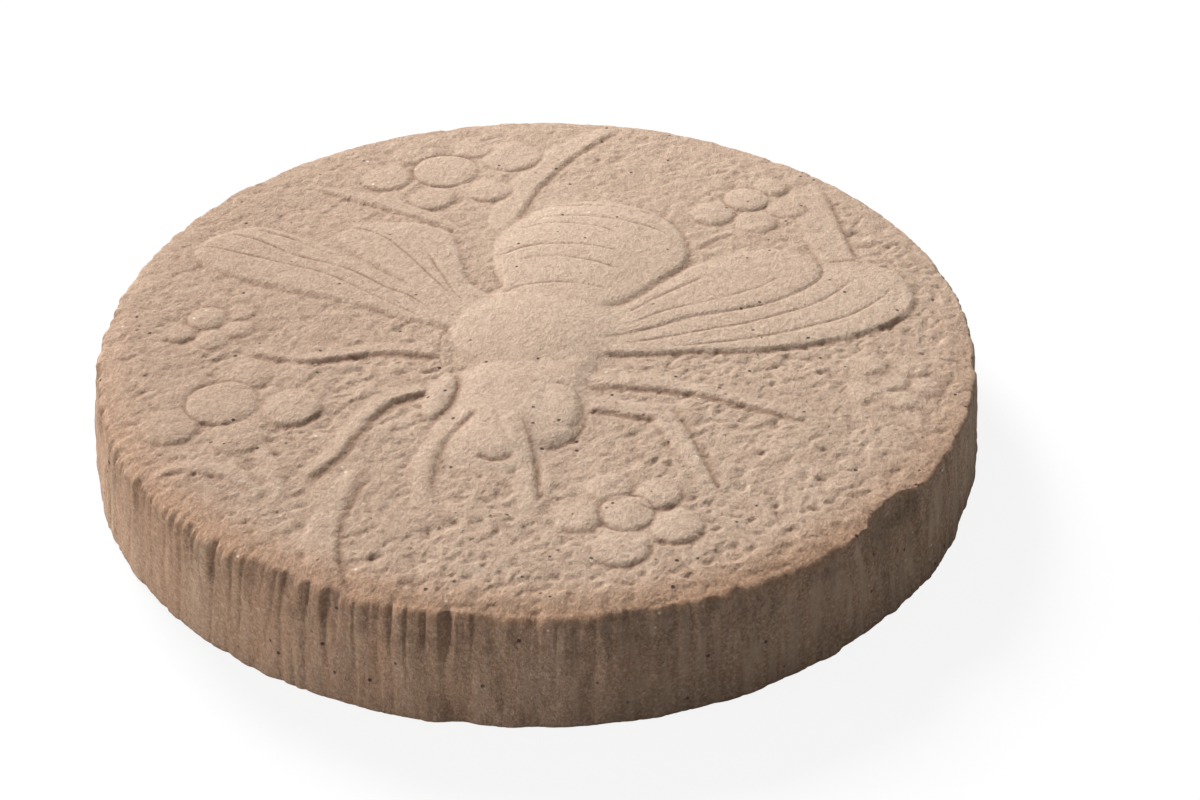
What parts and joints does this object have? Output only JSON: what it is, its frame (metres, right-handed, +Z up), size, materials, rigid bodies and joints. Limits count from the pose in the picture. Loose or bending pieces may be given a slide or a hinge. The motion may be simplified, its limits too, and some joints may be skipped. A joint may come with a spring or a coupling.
{
  "type": "garden stepping stone",
  "caption": "Round cast concrete stepping stone for a garden path, its tread decorated in low relief with a bee, daisies and grass blades.",
  "frame": {"origin": "centre of the flat underside", "axes": "+Z up through the tread, +Y from the bee's head towards its abdomen, +X towards its right-hand wings as they are seen from above"},
  "size_m": [0.3098, 0.3098, 0.0418],
  "materials": {
    "stone": "rough, unpainted, weathered cast concrete"
  },
  "bodies": {
    "root": {"stepping_stone": "stone"}
  },
  "joints": []
}
